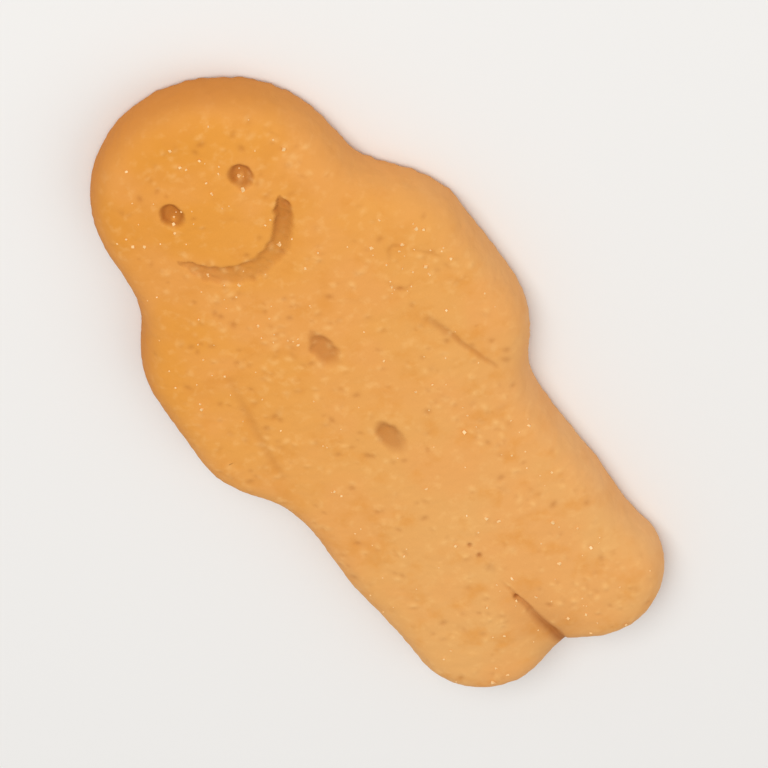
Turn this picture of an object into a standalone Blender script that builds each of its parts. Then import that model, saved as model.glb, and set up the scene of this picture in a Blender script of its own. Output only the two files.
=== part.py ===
"""A small plain gingerbread man biscuit, cut and stamped from one piece of dough.

The outline is a smooth union of a head, a trunk, two arms held against the sides and two legs
set together. The biscuit lies on its flat underside, its head towards +Y and its face up, with
the origin under the middle of its box. The die leaves two eyes, a smile, two buttons, a line
inside each forearm and a crease between the legs.
"""

from math import cos, pi, radians, sin

import bmesh
import bpy
import numpy as np
from mathutils.bvhtree import BVHTree

MM = 0.001

# Driving dimensions, in millimetres; X runs across the biscuit and Y from the feet to the head.
THICKNESS = 7.2  # at the middle of the trunk
RIM_HEIGHT = 1.4  # where the side stands furthest out
RIM_WIDTH = 3.4  # how far in the rounded upper edge reaches
RIM_RISE = 5.1  # how high the rounded upper edge climbs above the rim
RIM_FULLNESS = 0.8  # 1 makes that edge a quarter of an ellipse, less makes it squarer
BASE_INSET = 0.8  # how far the flat underside stays inside the rim
DOUGH_SPREAD = 1.7  # how softly one limb runs into the next

HEAD_CENTRE = (0.1, 22.7)
HEAD_RADII = (13.2, 12.7)
# Each limb: where it starts, where it ends, and its radius at both ends.
TRUNK = ((-0.1, 11.3), (-0.1, -24.2), 14.0, 14.0)
LEFT_ARM = ((-10.8, 5.4), (-10.4, -3.4), 8.1, 9.1)
RIGHT_ARM = ((9.8, 7.1), (9.6, -2.7), 9.8, 9.9)
LEFT_LEG = ((-2.8, -15.8), (-6.3, -37.1), 9.4, 7.7)
RIGHT_LEG = ((2.6, -16.5), (7.0, -37.7), 8.1, 7.6)
LIMBS = (TRUNK, LEFT_ARM, RIGHT_ARM, LEFT_LEG, RIGHT_LEG)

SPINE_TOP = 21.0  # the middle line that the rings of the surface close on
SPINE_BOTTOM = -33.0

# The marks of the die: places, half widths across and along, and depths.
EYES = ((-3.8, 25.2), (4.5, 25.4))
EYE_RADII = (1.2, 1.5)
EYE_DEPTH = 0.9
BUTTONS = ((0.3, 3.1), (0.1, -9.8))
BUTTON_RADII = (1.2, 2.4)
BUTTON_DEPTH = 0.8
SMILE_CENTRE = (0.3, 22.4)
SMILE_RADIUS = 6.7
SMILE_FROM = 202.0  # degrees, anticlockwise from +X
SMILE_TO = 339.0
SMILE_WIDTH = 1.9
SMILE_DEPTH = 0.6
LEFT_ARM_LINE = ((-10.0, 5.0), (-12.2, -7.8))
RIGHT_ARM_LINE = ((11.3, 0.8), (13.6, -8.6))
ARM_LINE_WIDTH = 0.9
ARM_LINE_DEPTH = 0.3
LEG_CREASE = ((-0.5, -25.5), (-0.3, -31.8), (0.2, -38.0), (0.1, -46.0))
LEG_CREASE_WIDTHS = (0.5, 0.8, 1.2, 1.8)
LEG_CREASE_DEPTHS = (0.1, 0.4, 1.0, 2.4)

CUTTER_STAND = 1.0  # how far every cutter stands above the surface
WALL_FLARE = 0.25  # how much wider a groove's walls stand there
DENT_FLOOR_SHARE = 0.78  # a dent's floor and its cutter's top, as shares of the half widths
DENT_MOUTH_SHARE = 1.25

BASE_STEPS = 3
FAN_STEPS = 32
SIDE_STEPS = 40
RIM_STEPS = 8
CROWN_STEPS = 6
MARK_SEGMENTS = 24
GROOVE_SIDES = 7
GROOVE_STEPS = 18

HALVINGS = 40
LONGEST_RAY = 30.0
MERGE_WITHIN = 1e-7  # metres
SHARP_ANGLE = 40.0

BISCUIT_COLOUR = (0.72, 0.36, 0.105, 1.0)
BISCUIT_ROUGHNESS = 0.75


def clear_scene():
    for obj in list(bpy.data.objects):
        bpy.data.objects.remove(obj, do_unlink=True)


def biscuit_material():
    material = bpy.data.materials.new("gingerbread")
    material.use_nodes = True
    shader = material.node_tree.nodes["Principled BSDF"]
    shader.inputs["Base Color"].default_value = BISCUIT_COLOUR
    shader.inputs["Roughness"].default_value = BISCUIT_ROUGHNESS
    shader.inputs["Metallic"].default_value = 0.0
    return material


def limb_distance(points, limb):
    """Distance from each point to a limb: its distance to the limb's middle line less the radius there."""
    start, end, start_radius, end_radius = limb
    start, end = np.array(start), np.array(end)
    along = end - start
    share = np.clip((points - start) @ along / (along @ along), 0.0, 1.0)
    nearest = start + share[:, None] * along
    radius = start_radius + (end_radius - start_radius) * share
    return np.linalg.norm(points - nearest, axis=1) - radius


def dough_distance(points):
    """Signed distance to the outline: a smooth least of the distances to the head and the limbs."""
    head = (points - np.array(HEAD_CENTRE)) / np.array(HEAD_RADII)
    distances = [(np.linalg.norm(head, axis=1) - 1.0) * sum(HEAD_RADII) / 2]
    distances += [limb_distance(points, limb) for limb in LIMBS]
    distances = np.array(distances)
    least = distances.min(axis=0)
    return least - DOUGH_SPREAD * np.log(np.exp((least - distances) / DOUGH_SPREAD).sum(axis=0))


def spine_rays():
    """Start and direction of the ray to each point of the outline, anticlockwise from the right.

    The rays leave a straight middle line, square to it along its length, and fan out round its two ends.
    Both sides start from the same places, so that the surface closes along the line.
    """
    fan = np.linspace(0, pi, FAN_STEPS + 1)
    sides = np.linspace(SPINE_TOP, SPINE_BOTTOM, SIDE_STEPS + 1)[1:-1]
    level = np.ones(len(sides))
    angles = np.concatenate([fan, pi * level, pi + fan, 2 * pi * level])
    heights = np.concatenate([SPINE_TOP + 0 * fan, sides, SPINE_BOTTOM + 0 * fan, sides[::-1]])
    starts = np.stack([0 * heights, heights], axis=1)
    return starts, np.stack([np.cos(angles), np.sin(angles)], axis=1)


def outline(starts, directions):
    """Where each ray leaves the dough, by halving the step until it is far below a micrometre."""
    inside, outside = np.zeros(len(starts)), np.full(len(starts), LONGEST_RAY)
    for _ in range(HALVINGS):
        middle = (inside + outside) / 2
        within = dough_distance(starts + directions * middle[:, None]) < 0
        inside = np.where(within, middle, inside)
        outside = np.where(within, outside, middle)
    return starts + directions * inside[:, None]


def inward_normals(points):
    """The unit normal that points into the dough at each point of a closed anticlockwise loop."""
    along = np.roll(points, -1, axis=0) - np.roll(points, 1, axis=0)
    normals = np.stack([-along[:, 1], along[:, 0]], axis=1)
    return normals / np.linalg.norm(normals, axis=1)[:, None]


def surface_rings():
    """The loops of points from the rim of the underside, over the edge and up to the middle line."""
    starts, directions = spine_rays()
    rim = outline(starts, directions)
    inward = inward_normals(rim)
    rings = []
    for step in range(BASE_STEPS):
        angle = pi / 2 * step / BASE_STEPS
        rings.append((rim + BASE_INSET * (1 - sin(angle)) * inward, RIM_HEIGHT * (1 - cos(angle))))
    for step in range(RIM_STEPS + 1):
        angle = pi / 2 * step / RIM_STEPS
        inset = RIM_WIDTH * (1 - max(cos(angle), 0.0) ** RIM_FULLNESS)
        rings.append((rim + inset * inward, RIM_HEIGHT + RIM_RISE * sin(angle) ** RIM_FULLNESS))
    edge, edge_height = rings[-1]
    for step in range(1, CROWN_STEPS + 1):
        share = step / CROWN_STEPS
        crown = (THICKNESS - edge_height) * (1 - (1 - share) ** 2)
        rings.append((edge + (starts - edge) * share, edge_height + crown))
    return rings


def box_middle():
    rim = outline(*spine_rays())
    return (rim.min(axis=0) + rim.max(axis=0)) / 2


BOX_MIDDLE = box_middle()


def metres(point, height):
    """A point of the die's drawing, as a place in the part's frame."""
    return ((point[0] - BOX_MIDDLE[0]) * MM, (point[1] - BOX_MIDDLE[1]) * MM, height * MM)


def bridge(mesh, rings):
    """Faces between each ring of vertices and the next."""
    for lower, upper in zip(rings, rings[1:]):
        for i in range(len(lower)):
            j = (i + 1) % len(lower)
            mesh.faces.new((lower[i], lower[j], upper[j], upper[i]))


def body_mesh():
    """The plain risen biscuit, without its marks."""
    mesh = bmesh.new()
    rings = [[mesh.verts.new(metres(p, height)) for p in points] for points, height in surface_rings()]
    bridge(mesh, rings)
    mesh.faces.new(reversed(rings[0]))
    bmesh.ops.remove_doubles(mesh, verts=mesh.verts, dist=MERGE_WITHIN)
    bmesh.ops.recalc_face_normals(mesh, faces=mesh.faces)
    return mesh


def new_object(name, mesh):
    data = bpy.data.meshes.new(name)
    mesh.to_mesh(data)
    mesh.free()
    obj = bpy.data.objects.new(name, data)
    bpy.context.scene.collection.objects.link(obj)
    return obj


def top_height(tree, point):
    """Height of the plain biscuit's top over a point of the drawing, in millimetres."""
    x, y, _ = metres(point, 0)
    hit = tree.ray_cast((x, y, 2 * THICKNESS * MM), (0, 0, -1))[0]
    return hit.z / MM if hit else RIM_HEIGHT


def dent_cutter(name, tree, centre, radii, depth):
    """A tapered oval peg that reaches from above the top to the floor of a punched dent."""
    mesh = bmesh.new()
    bmesh.ops.create_cone(
        mesh,
        cap_ends=True,
        segments=MARK_SEGMENTS,
        radius1=DENT_FLOOR_SHARE,
        radius2=DENT_MOUTH_SHARE,
        depth=depth + CUTTER_STAND,
    )
    bmesh.ops.scale(mesh, verts=mesh.verts, vec=(radii[0] * MM, radii[1] * MM, MM))
    middle = top_height(tree, centre) + (CUTTER_STAND - depth) / 2
    bmesh.ops.translate(mesh, verts=mesh.verts, vec=metres(centre, middle))
    return new_object(name, mesh)


def groove_section(width, depth):
    """Places across a groove and heights from the surface: a round floor between flaring walls."""
    radius = width / 2
    angles = np.linspace(pi, 2 * pi, GROOVE_SIDES)
    floor = [(radius * cos(angle), radius - depth + radius * sin(angle)) for angle in angles]
    flare = radius + WALL_FLARE
    return [(-flare, CUTTER_STAND), *floor, (flare, CUTTER_STAND)]


def groove_cutter(name, tree, path, widths, depths):
    """A bar that follows the top along a path and reaches down to the floor of a pressed groove."""
    mesh = bmesh.new()
    along = np.gradient(path, axis=0)
    along /= np.linalg.norm(along, axis=1)[:, None]
    rings = []
    for point, (x, y), width, depth in zip(path, along, widths, depths):
        surface = top_height(tree, point)
        across = np.array([y, -x])
        section = groove_section(width, depth)
        places = [metres(point + across * side, surface + rise) for side, rise in section]
        rings.append([mesh.verts.new(place) for place in places])
    bridge(mesh, rings)
    mesh.faces.new(rings[0])
    mesh.faces.new(rings[-1])
    bmesh.ops.recalc_face_normals(mesh, faces=mesh.faces)
    return new_object(name, mesh)


def stepped(corners, count):
    """Values at even steps along a list of corner values."""
    places = np.linspace(0, len(corners) - 1, count)
    corners = np.array(corners, float)
    if corners.ndim == 1:
        return np.interp(places, range(len(corners)), corners)
    return np.stack([stepped(column, count) for column in corners.T], axis=1)


def smile_path():
    angles = np.radians(np.linspace(SMILE_FROM, SMILE_TO, GROOVE_STEPS))
    return np.array(SMILE_CENTRE) + SMILE_RADIUS * np.stack([np.cos(angles), np.sin(angles)], axis=1)


def mark_cutters(tree):
    cutters = []
    for side, eye in zip(("left", "right"), EYES):
        cutters.append(dent_cutter(f"{side}_eye_cutter", tree, eye, EYE_RADII, EYE_DEPTH))
    for place, button in zip(("upper", "lower"), BUTTONS):
        cutters.append(dent_cutter(f"{place}_button_cutter", tree, button, BUTTON_RADII, BUTTON_DEPTH))
    even = np.ones(GROOVE_STEPS)
    cutters.append(
        groove_cutter("smile_cutter", tree, smile_path(), SMILE_WIDTH * even, SMILE_DEPTH * even)
    )
    for side, line in (("left", LEFT_ARM_LINE), ("right", RIGHT_ARM_LINE)):
        path = stepped(line, GROOVE_STEPS)
        widths, depths = ARM_LINE_WIDTH * even, ARM_LINE_DEPTH * even
        cutters.append(groove_cutter(f"{side}_arm_line_cutter", tree, path, widths, depths))
    path = stepped(LEG_CREASE, GROOVE_STEPS)
    widths, depths = stepped(LEG_CREASE_WIDTHS, GROOVE_STEPS), stepped(LEG_CREASE_DEPTHS, GROOVE_STEPS)
    cutters.append(groove_cutter("leg_crease_cutter", tree, path, widths, depths))
    return cutters


def stamp(biscuit, cutters):
    """Takes each mark out of the biscuit with a Boolean."""
    for cutter in cutters:
        cutter.hide_render = True
        cutter.hide_set(True)
        cutter.display_type = "WIRE"
        modifier = biscuit.modifiers.new(cutter.name, "BOOLEAN")
        modifier.operation = "DIFFERENCE"
        modifier.solver = "EXACT"
        modifier.object = cutter


def main():
    clear_scene()
    plain = body_mesh()
    tree = BVHTree.FromBMesh(plain)
    biscuit = new_object("gingerbread_man", plain)
    biscuit.data.materials.append(biscuit_material())
    stamp(biscuit, mark_cutters(tree))
    biscuit.data.shade_smooth()
    biscuit.data.set_sharp_from_angle(angle=radians(SHARP_ANGLE))


main()
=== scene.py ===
from math import cos, pi, radians, sin

import bmesh
import bpy
import numpy as np
from mathutils import Matrix, Vector


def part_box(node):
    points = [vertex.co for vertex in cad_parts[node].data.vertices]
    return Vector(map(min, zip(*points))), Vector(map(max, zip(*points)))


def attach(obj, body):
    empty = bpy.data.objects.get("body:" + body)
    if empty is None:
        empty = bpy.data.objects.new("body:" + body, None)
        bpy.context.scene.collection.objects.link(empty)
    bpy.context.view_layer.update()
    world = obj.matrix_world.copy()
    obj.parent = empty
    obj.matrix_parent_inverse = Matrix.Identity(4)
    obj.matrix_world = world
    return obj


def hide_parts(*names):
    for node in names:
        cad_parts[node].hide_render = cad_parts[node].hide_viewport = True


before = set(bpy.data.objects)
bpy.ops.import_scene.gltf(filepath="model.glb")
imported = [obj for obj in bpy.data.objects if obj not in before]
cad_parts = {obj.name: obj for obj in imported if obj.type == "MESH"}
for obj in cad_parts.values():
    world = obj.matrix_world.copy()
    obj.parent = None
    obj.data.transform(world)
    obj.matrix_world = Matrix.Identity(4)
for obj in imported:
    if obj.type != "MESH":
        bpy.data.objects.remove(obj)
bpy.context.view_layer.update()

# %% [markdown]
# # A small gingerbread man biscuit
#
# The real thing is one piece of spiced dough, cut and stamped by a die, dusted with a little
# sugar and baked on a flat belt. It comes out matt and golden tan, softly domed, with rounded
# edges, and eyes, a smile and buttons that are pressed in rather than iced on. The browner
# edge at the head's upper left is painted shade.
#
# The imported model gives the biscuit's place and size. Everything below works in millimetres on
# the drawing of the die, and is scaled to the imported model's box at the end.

BODY = "root"
BISCUIT_NODE = "gingerbread_man"
low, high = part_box(BISCUIT_NODE)
print("box in mm:", [round(1000 * side, 1) for side in high - low])

# %% [markdown]
# ## The camera
#
# The biscuit is seen from above at a slant, with its head at the upper left and its feet at the
# lower right. It leans towards the viewer, so the view is that of someone who stands past its
# head: the camera looks back over the head, and is turned so that the head is up. A long lens
# from a fair distance keeps the two ends of the biscuit at the same scale.
#
# A camera can be aimed with a Track To constraint. Here its three axes are written down
# directly, because the picture's "up" isn't the world's.

# %% Camera
VIEW_TURN = 32.8  # degrees from the biscuit's length to the picture's upright
VIEW_HEIGHT = 55.5  # degrees above the table
VIEW_DISTANCE = 1.0
FRAME_HEIGHT = 0.0791  # what the picture shows, top to bottom, at the biscuit
OFF_CENTRE = (0.0019, 0.0003)  # how far right and up of the biscuit's middle the camera aims
SENSOR = 36.0

turn, rise = radians(VIEW_TURN), radians(VIEW_HEIGHT)
past_head = Vector((sin(turn), cos(turn), 0))
picture_right = Vector((cos(turn), -sin(turn), 0))
to_camera = past_head * cos(rise) + Vector((0, 0, sin(rise)))
picture_up = past_head * sin(rise) - Vector((0, 0, cos(rise)))

camera = bpy.data.objects.new("camera", bpy.data.cameras.new("camera"))
bpy.context.scene.collection.objects.link(camera)
bpy.context.scene.camera = camera
camera.data.sensor_width = SENSOR
camera.data.lens = SENSOR * VIEW_DISTANCE / FRAME_HEIGHT
axes = Matrix((picture_right, picture_up, to_camera)).transposed()
aim = (low + high) / 2 + picture_right * OFF_CENTRE[0] + picture_up * OFF_CENTRE[1]
camera.matrix_world = Matrix.Translation(aim + to_camera * VIEW_DISTANCE) @ axes.to_4x4()
print("lens in mm:", round(camera.data.lens))

# %% [markdown]
# ## Shader sums as plain expressions
#
# A material's pattern is arithmetic on masks. Wiring Math nodes by hand hides that, so one small
# class wraps a socket: adding or multiplying two of them adds the Math node and gives back its
# output. Any other node comes from its `node` method, which sets the node's own settings first
# and then its sockets.

# %% Shader helper
class Wire:
    """An output socket that can be used in sums; `node` adds any other kind of node."""

    def __init__(self, tree, socket=None):
        self.tree = tree
        self.socket = socket

    def node(self, kind, settings=None, sockets=None, output=0):
        """A new node: its settings by name first, then its sockets by name or number."""
        made = self.tree.nodes.new(kind)
        for name, value in (settings or {}).items():
            setattr(made, name, value)
        for name, value in (sockets or {}).items():
            if isinstance(value, Wire):
                self.tree.links.new(value.socket, made.inputs[name])
            else:
                made.inputs[name].default_value = value
        return Wire(self.tree, made.outputs[output])

    def maths(self, operation, first, second):
        return self.node("ShaderNodeMath", {"operation": operation}, {0: first, 1: second})

    def __add__(self, other):
        return self.maths("ADD", self, other)

    __radd__ = __add__

    def __mul__(self, other):
        return self.maths("MULTIPLY", self, other)

    __rmul__ = __mul__

    def __sub__(self, other):
        return self.maths("SUBTRACT", self, other)

    def __rsub__(self, other):
        return self.maths("SUBTRACT", other, self)

    def between(self, start, end):
        """0 below start, 1 above end, and a smooth step from one to the other."""
        settings = {"interpolation_type": "SMOOTHSTEP"}
        return self.node("ShaderNodeMapRange", settings, {"Value": self, 1: start, 2: end})

    def blend(self, first, second):
        """Colours: the first where this mask is 0, and the second where it is 1."""
        settings = {"data_type": "RGBA", "clamp_factor": True}
        return self.node("ShaderNodeMix", settings, {0: self, 6: first, 7: second}, 2)


def srgb(red, green, blue):
    """A screen colour of 0 to 255 as the linear colour that shaders use."""
    levels = np.array([red, green, blue]) / 255
    linear = np.where(levels < 0.04045, levels / 12.92, ((levels + 0.055) / 1.055) ** 2.4)
    return (*(float(level) for level in linear), 1.0)


def new_material(name):
    """An empty Principled material: the material, its shader node and a Wire to build on."""
    material = bpy.data.materials.new(name)
    material.use_nodes = True
    shader = material.node_tree.nodes["Principled BSDF"]
    return material, shader, Wire(material.node_tree)


def feed(wire, shader, socket):
    wire.tree.links.new(wire.socket, shader.inputs[socket])


# %% [markdown]
# ## Table and light
#
# The table is a plain pale sheet. The light is that of a tent for photographing small things: one
# very large soft lamp, high up beyond the head and a little to the left, so that the upper walls
# of the pressed marks fall into shade, a weaker one on the right, and an even glow all round.

# %% Table
TABLE_SIDE = 3.0
TABLE_DROP = 0.00002  # the table stays this far under the biscuit, so that the two don't flicker

table_mesh = bpy.data.meshes.new("table")
half = TABLE_SIDE / 2
square = [(-half, -half), (half, -half), (half, half), (-half, half)]
table_mesh.from_pydata([(*corner, -TABLE_DROP) for corner in square], [], [(0, 1, 2, 3)])
table = bpy.data.objects.new("table", table_mesh)
bpy.context.scene.collection.objects.link(table)
table_material, table_shader, _ = new_material("pale_table")
table_shader.inputs["Base Color"].default_value = srgb(236, 234, 230)
table_shader.inputs["Roughness"].default_value = 0.6
table_mesh.materials.append(table_material)
print("table side in m:", TABLE_SIDE)

# %% Light
GLOW = 0.55
LAMPS = (
    # name, share of picture right, share beyond the head, height, distance, side, watts
    ("key", -0.4, 0.8, 1.45, 0.75, 0.5, 3.2),
    ("fill", 1.0, -0.3, 1.0, 0.8, 0.6, 1.0),
)

world = bpy.data.worlds.new("tent")
bpy.context.scene.world = world
world.use_nodes = True
world.node_tree.nodes["Background"].inputs["Color"].default_value = srgb(250, 250, 252)
world.node_tree.nodes["Background"].inputs["Strength"].default_value = GLOW
for name, right, beyond, up, distance, side, watts in LAMPS:
    lamp = bpy.data.lights.new(name, "AREA")
    lamp.size = side
    lamp.energy = watts
    direction = (picture_right * right + past_head * beyond + Vector((0, 0, up))).normalized()
    stand = bpy.data.objects.new(name, lamp)
    bpy.context.scene.collection.objects.link(stand)
    stand.location = aim + direction * distance
    stand.rotation_euler = direction.to_track_quat("Z", "Y").to_euler()
    print(name, "lamp:", watts, "watts,", distance, "m away")
bpy.context.scene.view_settings.view_transform = "Standard"

# %% [markdown]
# ## The outline of the dough
#
# A cutter's outline could be traced with a curve. But this one is a few simple shapes that run
# into each other: a round head, a trunk, two arms held against the sides and two legs. Each has
# a formula for how far a point lies outside it, and a smooth least of those distances is zero on
# the outline of them all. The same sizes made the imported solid.

# %% Outline
HEAD_CENTRE = (0.1, 22.7)
HEAD_RADII = (13.2, 12.7)
# Each limb: where it starts, where it ends, and its radius at both ends.
TRUNK = ((-0.1, 11.3), (-0.1, -24.2), 14.0, 14.0)
LEFT_ARM = ((-10.8, 5.4), (-10.4, -3.4), 8.1, 9.1)
RIGHT_ARM = ((9.8, 7.1), (9.6, -2.7), 9.8, 9.9)
LEFT_LEG = ((-2.8, -15.8), (-6.3, -37.1), 9.4, 7.7)
RIGHT_LEG = ((2.6, -16.5), (7.0, -37.7), 8.1, 7.6)
LIMBS = (TRUNK, LEFT_ARM, RIGHT_ARM, LEFT_LEG, RIGHT_LEG)
DOUGH_SPREAD = 1.7  # how softly one limb runs into the next
SPINE_TOP, SPINE_BOTTOM = 21.0, -33.0
FAN_STEPS, SIDE_STEPS = 160, 250
LONGEST_RAY, HALVINGS = 30.0, 40


def limb_distance(points, limb):
    """Distance to the limb's middle line, less the radius at the nearest place on it."""
    start, end, start_radius, end_radius = limb
    start, end = np.array(start), np.array(end)
    along = end - start
    share = np.clip((points - start) @ along / (along @ along), 0.0, 1.0)
    radius = start_radius + (end_radius - start_radius) * share
    return np.linalg.norm(points - start - share[:, None] * along, axis=1) - radius


def dough_distance(points):
    """Distance outside the dough: minus the log of the sum of e to the minus each distance."""
    head = (points - np.array(HEAD_CENTRE)) / np.array(HEAD_RADII)
    distances = [(np.linalg.norm(head, axis=1) - 1.0) * sum(HEAD_RADII) / 2]
    distances += [limb_distance(points, limb) for limb in LIMBS]
    distances = np.array(distances)
    least = distances.min(axis=0)
    return least - DOUGH_SPREAD * np.log(np.exp((least - distances) / DOUGH_SPREAD).sum(axis=0))


def spine_rays():
    """Rays from a straight middle line: square to it along both sides, fanned out round its ends."""
    fan = np.linspace(0, pi, FAN_STEPS + 1)
    sides = np.linspace(SPINE_TOP, SPINE_BOTTOM, SIDE_STEPS + 1)[1:-1]
    level = np.ones(len(sides))
    angles = np.concatenate([fan, pi * level, pi + fan, 2 * pi * level])
    heights = np.concatenate([SPINE_TOP + 0 * fan, sides, SPINE_BOTTOM + 0 * fan, sides[::-1]])
    starts = np.stack([0 * heights, heights], axis=1)
    return starts, np.stack([np.cos(angles), np.sin(angles)], axis=1)


def outline(starts, directions):
    """Where each ray leaves the dough, found by halving the stretch that holds the place."""
    inside, outside = np.zeros(len(starts)), np.full(len(starts), LONGEST_RAY)
    for _ in range(HALVINGS):
        middle = (inside + outside) / 2
        within = dough_distance(starts + directions * middle[:, None]) < 0
        inside = np.where(within, middle, inside)
        outside = np.where(within, outside, middle)
    return starts + directions * inside[:, None]


starts, directions = spine_rays()
rim = outline(starts, directions)
along = np.roll(rim, -1, axis=0) - np.roll(rim, 1, axis=0)
inward = np.stack([-along[:, 1], along[:, 0]], axis=1)
inward /= np.linalg.norm(inward, axis=1)[:, None]
drawing_low, drawing_high = rim.min(axis=0), rim.max(axis=0)
print("outline:", len(rim), "points,", (drawing_high - drawing_low).round(1), "mm")

# %% [markdown]
# ## From outline to risen dough
#
# The surface is one closed grid. Around it runs the outline; across it runs a profile that
# starts in the middle of the underside, goes out to the edge, over the rounded rim and back up
# to the middle of the top. Each row of the grid is the outline moved inwards by an inset, then
# drawn a share of the way to the middle line, and lifted to a height.

# %% Rows of the grid
THICKNESS = 7.2
RIM_HEIGHT, RIM_WIDTH, RIM_RISE, RIM_FULLNESS = 1.4, 3.4, 5.1, 0.8
BASE_INSET = 0.8
CROWN_RISE = THICKNESS - RIM_HEIGHT - RIM_RISE
DOME_REACH = 14.0  # how far in from the edge the dome's curve is still rising
UNDERSIDE_ROWS, FOOT_ROWS, RIM_ROWS, CROWN_ROWS = 12, 6, 20, 80


def profile():
    """Inset, share towards the middle and height of every row, from underside to top.

    The foot is a quarter ellipse, and the rim a squarer one, the powers of its cosine and sine
    being under 1. The crown rises by one less the square of the distance still to go, and the
    rim has the start of the same curve in it, so that no ridge shows where the two meet.
    """
    under = np.linspace(1, 0, UNDERSIDE_ROWS, endpoint=False)
    foot = np.linspace(0, pi / 2, FOOT_ROWS, endpoint=False)
    edge = np.linspace(0, pi / 2, RIM_ROWS, endpoint=False)
    crown = np.linspace(0, 1, CROWN_ROWS)
    inset = [BASE_INSET + 0 * under, BASE_INSET * (1 - np.sin(foot))]
    inset += [RIM_WIDTH * (1 - np.cos(edge) ** RIM_FULLNESS), RIM_WIDTH + 0 * crown]
    dome_start = 1 - (1 - RIM_WIDTH / DOME_REACH) ** 2
    dome = CROWN_RISE / (1 - dome_start) * (1 - (1 - inset[-2] / DOME_REACH) ** 2)
    dome_end = CROWN_RISE / (1 - dome_start) * dome_start
    height = [0 * under, RIM_HEIGHT * (1 - np.cos(foot))]
    height += [RIM_HEIGHT + (RIM_RISE - dome_end) * np.sin(edge) ** RIM_FULLNESS + dome]
    height += [RIM_HEIGHT + RIM_RISE + CROWN_RISE * (1 - (1 - crown) ** 2)]
    share = [under, 0 * foot, 0 * edge, crown]
    return np.concatenate(inset), np.concatenate(share), np.concatenate(height)


inset, share, height = profile()
flat = rim[None] + inset[:, None, None] * inward[None]
flat += (starts[None] - flat) * share[:, None, None]
surface = np.dstack([flat, np.repeat(height[:, None], len(rim), axis=1)])
print("grid:", surface.shape[0], "rows of", surface.shape[1])

# How far each row faces outwards and upwards, from the slope of the profile.
reach = -inset - share * HEAD_RADII[0]
lean = np.stack([np.gradient(height), -np.gradient(reach)], axis=1)
lean /= np.linalg.norm(lean, axis=1)[:, None]
lean[share == 1, 0] = 0
facing = np.dstack([-inward[None] * lean[:, :1, None], np.repeat(lean[:, 1:], len(rim), axis=1)])
top_side = (height > RIM_HEIGHT)[:, None] * np.clip(lean[:, 1:], 0, 1)

# %% [markdown]
# ## The marks of the die
#
# Pressed marks could be cut with Booleans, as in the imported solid, but baking softens them: the
# walls slope, the floors are uneven and the dough swells a little round each one. So each mark
# is a depth over the drawing, a formula of x and y, and the grid is pushed down by it.
#
# A die leaves clean lines and the oven frays them. To fray a mark, its formula is given an x that
# wanders by a fraction of a millimetre: a sum of many sine waves in random directions, which is
# even and seamless anywhere in space.

# %% Depths of the marks
EYES = ((-3.8, 25.2), (4.7, 25.4))
EYE_RADII = (1.25, 1.5)
EYE_DEPTH = 0.9
EYE_NUBS = ((-4.0, 24.6), (4.5, 25.2))  # dough that was pulled up again by the die's pin
NUB_RADIUS, NUB_HEIGHT = 0.4, 0.22
BUTTONS = ((0.3, 3.1), (0.1, -9.8))
BUTTON_RADII = (1.25, 2.5)
BUTTON_DEPTH = 0.55
SMILE_CENTRE = (0.3, 22.4)
# The smile from its left end to its right: angles round its centre, radii of both edges, depths.
SMILE_ANGLES = (197, 206, 215, 225, 245, 270, 290, 307, 322, 338, 345, 350)
SMILE_INNER = (6.9, 6.3, 6.15, 6.05, 5.8, 5.75, 5.7, 5.4, 5.3, 5.5, 5.75, 6.1)
SMILE_OUTER = (7.1, 7.2, 7.6, 7.9, 8.1, 8.1, 7.8, 7.5, 7.3, 7.1, 6.9, 6.4)
SMILE_DEPTHS = (0.0, 0.2, 0.26, 0.3, 0.3, 0.3, 0.34, 0.42, 0.52, 0.55, 0.45, 0.0)
LEFT_ARM_LINE = ((-10.0, 5.0), (-11.6, -3.6), (-12.2, -8.2))
RIGHT_ARM_LINE = (
    (11.4, 0.4), (11.5, -0.6), (12.2, -2.5), (12.5, -3.9), (13.1, -5.9), (13.7, -8.4)
)
LEG_CREASE = ((-0.1, -31.2), (0.15, -33.7), (0.35, -37.5), (0.6, -40.5), (0.4, -46.0))
CREASE_HOLES = (  # each: its place, its radius and its depth
    ((-0.3, -25.5), 0.2, 0.26),
    ((-0.15, -27.1), 0.26, 0.24),
    ((-0.05, -29.0), 0.45, 0.1),
    ((0.15, -33.7), 0.22, 0.2),
)

CRACKLE = (  # short curved cracks in the skin of the right shoulder
    ((11.6, 8.4), (12.2, 9.6), (12.9, 10.0), (13.9, 9.3)),
    ((14.6, 8.2), (15.4, 7.3), (16.0, 6.6), (16.4, 5.9)),
    ((10.2, 6.6), (10.5, 5.4), (11.3, 4.9), (12.2, 5.1)),
)

dice = np.random.default_rng(7)


def rough(points, size, count=48):
    """Sum of sine waves about `size` mm long with random directions and phases, spread about 1."""
    waves = dice.normal(size=(count, 3))
    lengths = np.linalg.norm(waves, axis=1)
    waves *= (2 * pi / size * dice.uniform(0.7, 1.4, count) / lengths)[:, None]
    phases = dice.uniform(0, 2 * pi, count)
    total = np.zeros(points.shape[:2])
    for wave, phase in zip(waves, phases):
        total += np.sin(points @ wave + phase)
    return total / np.sqrt(count / 2)


def step(value, start, end):
    """0 before start, 1 after end, and three squares less two cubes between."""
    share = np.clip((value - start) / (end - start), 0, 1)
    return share * share * (3 - 2 * share)


def bell(x, y, centre, radius):
    """One at the centre, falling off as e to the minus squared distance."""
    return np.exp(-((x - centre[0]) ** 2 + (y - centre[1]) ** 2) / radius**2)


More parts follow.
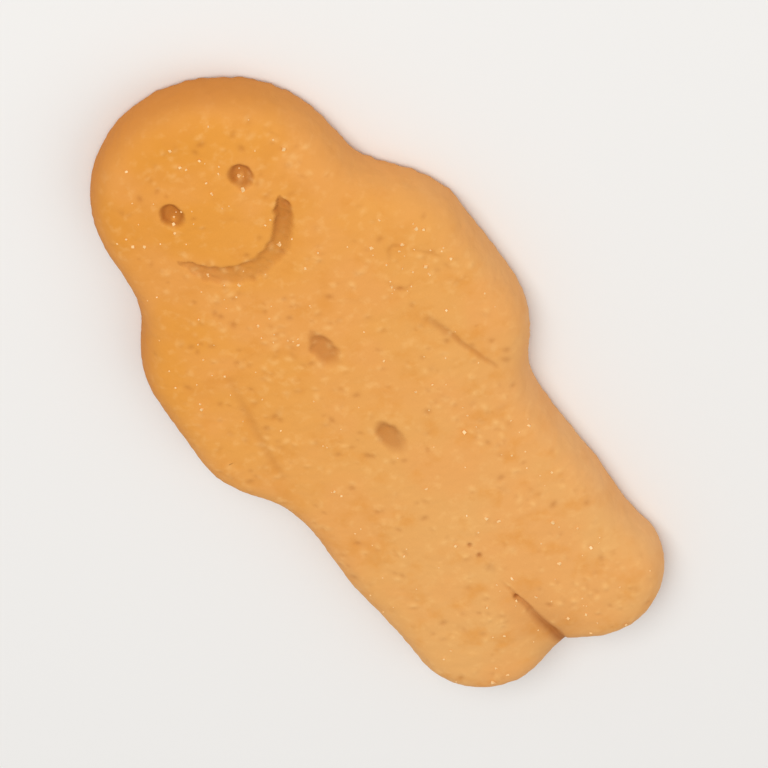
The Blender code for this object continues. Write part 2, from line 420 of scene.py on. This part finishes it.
def dent(x, y, centre, radii, depth, wall, slope):
    """An oval dent: its wall lies between two shares of the oval, and its floor slopes to the head."""
    along = (y - centre[1]) / radii[1]
    oval = np.hypot((x - centre[0]) / radii[0], along)
    swell = 0.03 * np.exp(-(((oval - 1.4) / 0.25) ** 2))
    return depth * (1 + slope * np.clip(along, -1, 1)) * (1 - step(oval, *wall)) - swell


def smile_band(x, y):
    """Place across the smile's groove, 0 at its inner edge and 1 at the outer, and its depth."""
    radius = np.hypot(x - SMILE_CENTRE[0], y - SMILE_CENTRE[1])
    angle = np.degrees(np.arctan2(y - SMILE_CENTRE[1], x - SMILE_CENTRE[0])) % 360
    inner = np.interp(angle, SMILE_ANGLES, SMILE_INNER)
    outer = np.interp(angle, SMILE_ANGLES, SMILE_OUTER)
    depth = np.interp(angle, SMILE_ANGLES, SMILE_DEPTHS)
    return (radius - inner) / np.maximum(outer - inner, 0.2), depth


def line_distance(x, y, path):
    """Distance to a path of straight stretches, and how far along it the nearest place is."""
    nearest, place = np.full(x.shape, 1e9), np.zeros(x.shape)
    for i, ((x0, y0), (x1, y1)) in enumerate(zip(path, path[1:])):
        dx, dy = x1 - x0, y1 - y0
        part = np.clip(((x - x0) * dx + (y - y0) * dy) / (dx * dx + dy * dy), 0, 1)
        distance = np.hypot(x - x0 - part * dx, y - y0 - part * dy)
        place = np.where(distance < nearest, (i + part) / (len(path) - 1), place)
        nearest = np.minimum(nearest, distance)
    return nearest, place


def pressed_line(x, y, path, widths, depths):
    """A groove along a path: a bell across it, whose width and depth change from end to end."""
    distance, place = line_distance(x, y, path)
    stops = np.linspace(0, 1, len(widths))
    width = np.interp(place, stops, widths)
    return np.interp(place, stops, depths) * np.exp(-((distance / (0.6 * width)) ** 2))


x, y = surface[..., 0], surface[..., 1]
frayed = 0.07 * rough(surface, 1.4)  # the edges of wide marks wander by this much
winding = 0.09 * rough(surface, 3.5)  # and lines by this, in longer bends
across, smile_depth = smile_band(x + frayed, y + 0.06 * rough(surface, 1.4))
smile_floor = step(across, -0.05, 0.18) * (1 - step(across, 0.8, 1.12)) * (smile_depth > 0)
inner_crack = np.exp(-(((across - 0.16) / 0.14) ** 2)) * step(smile_depth, 0, 0.2)
x_frayed, x_winding = x + frayed, x + winding
eye_shape = (EYE_RADII, EYE_DEPTH, (0.45, 1.15), 0.15)
button_shape = (BUTTON_RADII, BUTTON_DEPTH, (0.3, 1.2), 0.55)
crease_widths, crease_depths = (0.4, 0.45, 0.6, 0.7, 0.9), (0.05, 0.3, 0.5, 0.8, 1.3)
valley_widths, valley_depths = (3.0, 4.0, 4.5, 4.5, 4.5), (0.0, 0.08, 0.2, 0.3, 0.4)
crack_widths, crack_depths = (0.3, 0.4, 0.3), (0.03, 0.1, 0.03)
marks = {
    "eyes": sum(dent(x_frayed, y, eye, *eye_shape) for eye in EYES),
    "smile": smile_depth * smile_floor + 0.07 * inner_crack,
    "buttons": sum(dent(x_frayed, y, button, *button_shape) for button in BUTTONS),
    "left arm": pressed_line(x, y, LEFT_ARM_LINE, (0.8, 0.8, 0.7), (0.08, 0.14, 0.08)),
    "right arm": pressed_line(x_winding, y, RIGHT_ARM_LINE, (0.8, 0.5, 0.4), (0.16, 0.26, 0.16)),
    "leg crease": pressed_line(x_winding, y, LEG_CREASE, crease_widths, crease_depths),
    "between legs": pressed_line(x, y, LEG_CREASE, valley_widths, valley_depths),
    "crackle": sum(pressed_line(x_frayed, y, line, crack_widths, crack_depths) for line in CRACKLE),
    "crease holes": sum(deep * bell(x_frayed, y, spot, radius) for spot, radius, deep in CREASE_HOLES),
}
for name, depth in marks.items():
    print(name, "deepest", round(float(depth.max()), 2), "mm")

# %% [markdown]
# ## Baked skin
#
# Baked dough is never quite smooth. It has slow waves where it rose unevenly, small pits, crumbs
# and sugar that stand up with a little hollow beside them, open pores underneath and a slightly
# ragged foot. Real dips in the mesh are used for all that is wider than the grid's spacing, so
# that they catch light at the silhouette too. Only the finest grain is left to the shader.

# %% Waves, pits and crumbs
PITS, CRUMBS, PORES = 110, 330, 160


def scattered(count, clumped, margin=1.3):
    """Random places inside the outline, a share of them gathered into loose clumps."""
    places = dice.uniform(drawing_low, drawing_high, (6 * count, 2))
    clumps = places[dice.integers(0, count // 8, len(places))] + dice.normal(0, 2.6, places.shape)
    places = np.where(dice.uniform(size=len(places))[:, None] < clumped, clumps, places)
    return places[dough_distance(places) < -margin][:count]


def spots(places, radii, stretch, face):
    """Ovals at the places, each turned its own way: the highest of their bells at every point."""
    total = np.zeros(x.shape)
    wide = dice.uniform(*radii, len(places))
    long = wide * dice.uniform(1, stretch, len(places))
    for (px, py), a, b, angle in zip(places, wide, long, dice.uniform(0, pi, len(places))):
        near = face & (np.abs(x - px) < 2.5 * b) & (np.abs(y - py) < 2.5 * b)
        u = (x[near] - px) * cos(angle) + (y[near] - py) * sin(angle)
        v = (y[near] - py) * cos(angle) - (x[near] - px) * sin(angle)
        total[near] = np.maximum(total[near], a / radii[1] * np.exp(-((u / a) ** 2) - (v / b) ** 2))
    return total


z = surface[..., 2]
upper, under = z > RIM_HEIGHT, z < RIM_HEIGHT / 4
crumb_places = scattered(CRUMBS, 0.5)
beside = crumb_places + dice.normal(0, 0.3, crumb_places.shape)
crumbs = spots(crumb_places, (0.16, 0.3), 1.9, upper)
pits = spots(scattered(PITS, 0.3), (0.16, 0.34), 1.6, upper)
pits = np.maximum(pits, 0.5 * spots(beside, (0.16, 0.3), 2.0, upper))
pores = spots(scattered(PORES, 0.2), (0.3, 0.7), 1.5, under)
mark_floors = smile_floor + marks["eyes"] + 0.4 * marks["buttons"]
skin = 0.03 * rough(surface, 8.0) + 0.018 * rough(surface, 2.6) + 0.009 * rough(surface, 1.1)
skin += 0.07 * crumbs - 0.11 * pits - 0.3 * pores + 0.04 * mark_floors * rough(surface, 0.9)
skin += NUB_HEIGHT * sum(bell(x, y, nub, NUB_RADIUS) for nub in EYE_NUBS) * upper
ragged = np.exp(-(((z - 0.25) / 0.35) ** 2)) * (share == 0)[:, None]
skin += 0.07 * ragged * rough(surface, 1.6)
steep = 1 - np.clip(lean[:, 1:], 0, 1)
skin += 0.022 * steep * upper * rough(surface, 1.0) + 0.012 * steep * rough(surface, 0.6)
print("skin from", round(float(skin.min()), 2), "to", round(float(skin.max()), 2), "mm")

# %% [markdown]
# ## Putting the surface together
#
# The skin moves points along the way that each faces, the marks push them straight down, and
# nothing may go below the table or above the imported model's box. The two ends of the grid close
# on the middle line, where the points of both sides meet and are merged.
#
# The mesh also keeps a few numbers at every point: how far it is pressed in, pitted or crumbly,
# and how far it faces sideways. The colour of the finish follows them, painted shade in the
# hollows included.

# %% The biscuit's mesh
WELD_WITHIN = 1e-7  # metres, far less than the grid's spacing

relief = sum(marks.values())
shaped = surface + facing * skin[..., None]
shaped[..., 2] -= relief * top_side
shaped[..., 2] = np.clip(shaped[..., 2], 0, THICKNESS)

middle = (drawing_low + drawing_high) / 2
scale = (high.y - low.y) / (drawing_high[1] - drawing_low[1])
print("metres for one mm of the drawing:", round(scale, 6))


def placed(points):
    """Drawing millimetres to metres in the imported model's frame."""
    moved = points.astype(float) * scale
    moved[..., 0] += (low.x + high.x) / 2 - middle[0] * scale
    moved[..., 1] += (low.y + high.y) / 2 - middle[1] * scale
    moved[..., 2] += low.z
    return moved


def grid_faces(rows, columns):
    """Four-cornered faces between neighbouring rows, joined round the ring, facing outwards."""
    row, column = np.meshgrid(np.arange(rows - 1), np.arange(columns), indexing="ij")
    follow = (column + 1) % columns
    corners = [row * columns + column, row * columns + follow]
    corners += [(row + 1) * columns + follow, (row + 1) * columns + column]
    return np.stack(corners, axis=-1).reshape(-1, 4)


def mesh_object(name, points, faces, material, numbers=None):
    """A smooth-shaded object at the origin, with per-point numbers kept as attributes."""
    mesh = bpy.data.meshes.new(name)
    mesh.from_pydata(points.reshape(-1, 3), [], faces)
    for key, values in (numbers or {}).items():
        attribute = mesh.attributes.new(key, "FLOAT", "POINT")
        attribute.data.foreach_set("value", values.astype(np.float32).ravel())
    mesh.materials.append(material)
    mesh.shade_smooth()
    piece = bpy.data.objects.new(name, mesh)
    bpy.context.scene.collection.objects.link(piece)
    return piece


def weld(piece, within):
    """Merges the points that lie together on the middle line."""
    mesh = bmesh.new()
    mesh.from_mesh(piece.data)
    bmesh.ops.remove_doubles(mesh, verts=mesh.verts, dist=within)
    print(piece.name, "open edges:", sum(not edge.is_manifold for edge in mesh.edges))
    mesh.to_mesh(piece.data)
    mesh.free()
    piece.data.shade_smooth()


gingerbread, gingerbread_shader, dough = new_material("baked_gingerbread")
# For each mark, the depth in mm that would darken it fully, and how far it darkens at most.
# The darkening is partly the browning of the bake and partly painted shade in the hollow.
BROWNING_AND_SHADE = {
    "eyes": (0.7, 0.72),
    "buttons": (0.7, 0.55),
    "left arm": (0.5, 0.3),
    "right arm": (0.5, 0.45),
    "leg crease": (0.8, 0.7),
    "between legs": (1.2, 0.22),
    "crackle": (0.3, 0.35),
    "crease holes": (0.25, 1.0),
}
pressed = sum(np.clip(marks[name] / full, 0, most) for name, (full, most) in BROWNING_AND_SHADE.items())
pressed *= 1 - 0.8 * sum(bell(x, y, nub, 0.3) for nub in EYE_NUBS)
# The smile's floor and inner crack darken too, more where it is deeper: partly browning, partly
# painted shade.
pressed += smile_floor * (0.38 + 0.3 * step(smile_depth, 0.3, 0.55)) + 0.22 * inner_crack
colour_masks = {
    "pressed": np.clip(pressed * upper, 0, 1),
    "pitted": np.clip(1.1 * pits, 0, 1),
    "crumbly": np.clip(1.2 * crumbs, 0, 1) * (1 - np.clip(pits, 0, 1)),
    "side": np.repeat(steep * (share < 1)[:, None], len(rim), axis=1),
}
faces = grid_faces(*shaped.shape[:2])
biscuit = mesh_object("biscuit", placed(shaped), faces, gingerbread, colour_masks)
weld(biscuit, WELD_WITHIN)
print("biscuit:", len(biscuit.data.polygons), "faces")

# %% [markdown]
# ## The finish of the dough
#
# Looked at closely, the golden tan is a mixture. On the top it runs from golden at the head to
# pale gold at the feet and the right, and the head's upper left is painted shade, in amber. The
# sides are painted light on the lower right and painted shade on the upper left. Over that lie
# warm patches, pinker patches and paler flecks, and a browner tone wherever the dough is pressed
# in or pitted, partly the browning of the bake and partly painted shade in the hollows. Each of
# these is a mask, and the colour is blended through them one after the other.
#
# The patches could be painted on an image. Noise on the object's own coordinates needs no image
# and no unwrapping, and stays as sharp as it is looked at.

# %% Gingerbread material
place = dough.node("ShaderNodeTexCoord", output="Object")
HEAD_SHADE_AMBER, GOLDEN = srgb(216, 139, 42), srgb(227, 152, 60)
DEEP_GOLD, PALE_GOLD = srgb(220, 144, 58), srgb(229, 169, 98)
ROSY, CREAM = srgb(231, 159, 86), srgb(250, 196, 122)
EDGE_SHADE_BROWN, TOASTED_AND_SHADED = srgb(200, 120, 40), srgb(158, 86, 28)
SIDE_SHADE_GOLD, SIDE_LIT_TAN = srgb(226, 156, 84), srgb(241, 181, 120)


def noise(size, detail=2.0, roughness=0.5):
    """Soft noise whose patches are about `size` mm across, from 0 to 1."""
    sockets = {"Vector": place, "Scale": 1000.0 / size, "Detail": detail, "Roughness": roughness}
    return dough.node("ShaderNodeTexNoise", {}, sockets)


def mesh_mask(name):
    """The number kept on the mesh under that name."""
    return dough.node("ShaderNodeAttribute", {"attribute_name": name}, output="Fac")


to_head = dough.node("ShaderNodeSeparateXYZ", {}, {0: place}, 1)
to_right = dough.node("ShaderNodeSeparateXYZ", {}, {0: place}, 0)
paler = (0.6 * to_right - to_head).between(-0.034, 0.032)
colour = paler.blend(GOLDEN, PALE_GOLD)
# Painted shade: the top of the head, most on its upper left, is darkened to amber.
colour = ((0.9 * to_head - to_right).between(0.018, 0.042) * 0.6).blend(colour, HEAD_SHADE_AMBER)
colour = (noise(9.0).between(0.4, 0.65) * 0.5).blend(colour, ROSY)
colour = (noise(3.0, 4.0).between(0.48, 0.75) * 0.55).blend(colour, DEEP_GOLD)
colour = (noise(1.1, 3.0).between(0.5, 0.8) * 0.25).blend(colour, CREAM)
# The sides: their own rosy tan, with painted shade on the upper left and painted light on the lower
# right, which is paler.
side_tone = (noise(4.0, 3.0).between(0.3, 0.7) * 0.4).blend(paler.blend(SIDE_SHADE_GOLD, SIDE_LIT_TAN), ROSY)
colour = (mesh_mask("side") * 0.8).blend(colour, side_tone)
# Painted shade: the sides of the head, most on its upper left, are darkened towards a shade brown.
head_edge_shade = mesh_mask("side").between(0.05, 0.95) * (0.9 * to_head - to_right).between(0.008, 0.03)
colour = (head_edge_shade * 0.6).blend(colour, EDGE_SHADE_BROWN)
# Pressed marks darker: partly the browning of the bake, partly painted shade in the hollows.
colour = (mesh_mask("pressed") * 0.8).blend(colour, TOASTED_AND_SHADED)
# Pits darker: partly dark specks in the dough, partly painted shade in the pits and in the hollows
# beside crumbs.
colour = (mesh_mask("pitted") * 0.32).blend(colour, TOASTED_AND_SHADED)
colour = (mesh_mask("crumbly") * 0.36).blend(colour, CREAM)
feed(colour, gingerbread_shader, "Base Color")

grain = noise(0.5, 3.0, 0.6) + 0.6 * noise(1.3, 2.0)
feed(0.68 + 0.2 * noise(1.5) + 0.1 * mesh_mask("pressed"), gingerbread_shader, "Roughness")
bump = dough.node("ShaderNodeBump", {}, {"Height": grain, "Strength": 0.55, "Distance": 0.00007})
feed(bump, gingerbread_shader, "Normal")
gingerbread_shader.inputs["Specular IOR Level"].default_value = 0.22
print("gingerbread nodes:", len(gingerbread.node_tree.nodes))

# %% [markdown]
# ## Sugar grains
#
# A few grains of sugar stick to the top and catch the light. Each is a small cube with its
# corners knocked about, turned any way round and sunk halfway into the dough. They could be
# instances of one grain, but as one joined mesh no two need be the same: the corners of all the
# grains are turned, scaled and moved as one array.

# %% Sugar
GRAINS = 210
GRAIN_SIZES = (0.06, 0.16)
GRAIN_STANDS = 0.15  # no grain stands further above the top than this
EYE_GRAINS = ((-3.9, 24.7), (-4.2, 24.2), (-3.4, 25.0), (4.4, 25.3), (4.7, 25.0), (4.8, 25.9))

sugar, sugar_shader, _ = new_material("sugar_crystal")
sugar_shader.inputs["Base Color"].default_value = srgb(248, 204, 140)
sugar_shader.inputs["Roughness"].default_value = 0.3
sugar_shader.inputs["Specular IOR Level"].default_value = 0.5


def grain_shape():
    """The eight corners and six faces of a cube, half a unit from the middle on each side."""
    corners = np.array([(a, b, c) for a in (-1, 1) for b in (-1, 1) for c in (-1, 1)]) / 2
    faces = [(0, 1, 3, 2), (4, 6, 7, 5), (0, 4, 5, 1), (2, 3, 7, 6), (0, 2, 6, 4), (1, 5, 7, 3)]
    return corners, np.array(faces)


def random_turns(count):
    """Turning matrices from random unit quaternions, by the usual formula, as one array."""
    quaternions = dice.normal(size=(count, 4))
    w, i, j, k = quaternions.T / np.linalg.norm(quaternions, axis=1)
    rows = [1 - 2 * (j * j + k * k), 2 * (i * j - k * w), 2 * (i * k + j * w)]
    rows += [2 * (i * j + k * w), 1 - 2 * (i * i + k * k), 2 * (j * k - i * w)]
    rows += [2 * (i * k - j * w), 2 * (j * k + i * w), 1 - 2 * (i * i + j * j)]
    return np.stack(rows, axis=-1).reshape(count, 3, 3)


def on_top(places):
    """The point of the finished top that lies nearest to each place of the drawing."""
    top = shaped[height > RIM_HEIGHT + 0.6 * RIM_RISE].reshape(-1, 3)
    return np.array([top[((top[:, :2] - spot) ** 2).sum(axis=1).argmin()] for spot in places])


corners, faces = grain_shape()
grain_places = np.concatenate([scattered(GRAINS - len(EYE_GRAINS), 0.35), np.array(EYE_GRAINS)])
sizes = GRAIN_SIZES[0] + (GRAIN_SIZES[1] - GRAIN_SIZES[0]) * dice.uniform(0, 1, (GRAINS, 1, 1)) ** 3
sizes = sizes * dice.uniform(0.7, 1.3, (GRAINS, 1, 3))
uneven = corners[None] * dice.uniform(0.75, 1.2, (GRAINS, 8, 3))
cubes = np.einsum("nij,nkj->nki", random_turns(GRAINS), uneven * 2 * sizes)
cubes += on_top(grain_places)[:, None, :]
cubes[..., 2] = np.minimum(cubes[..., 2], THICKNESS + GRAIN_STANDS)
cube_faces = faces[None] + 8 * np.arange(GRAINS)[:, None, None]
grains = mesh_object("sugar_grains", placed(cubes), cube_faces.reshape(-1, 4), sugar)
grains.data.shade_flat()
print("sugar grains:", GRAINS)

# %% [markdown]
# ## Joining the frame
#
# Each new piece rides on the imported model's one body, and the fine biscuit takes the place of the
# imported solid.

# %% Ride, replace and finish
for piece in (biscuit, grains):
    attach(piece, BODY)
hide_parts(BISCUIT_NODE)
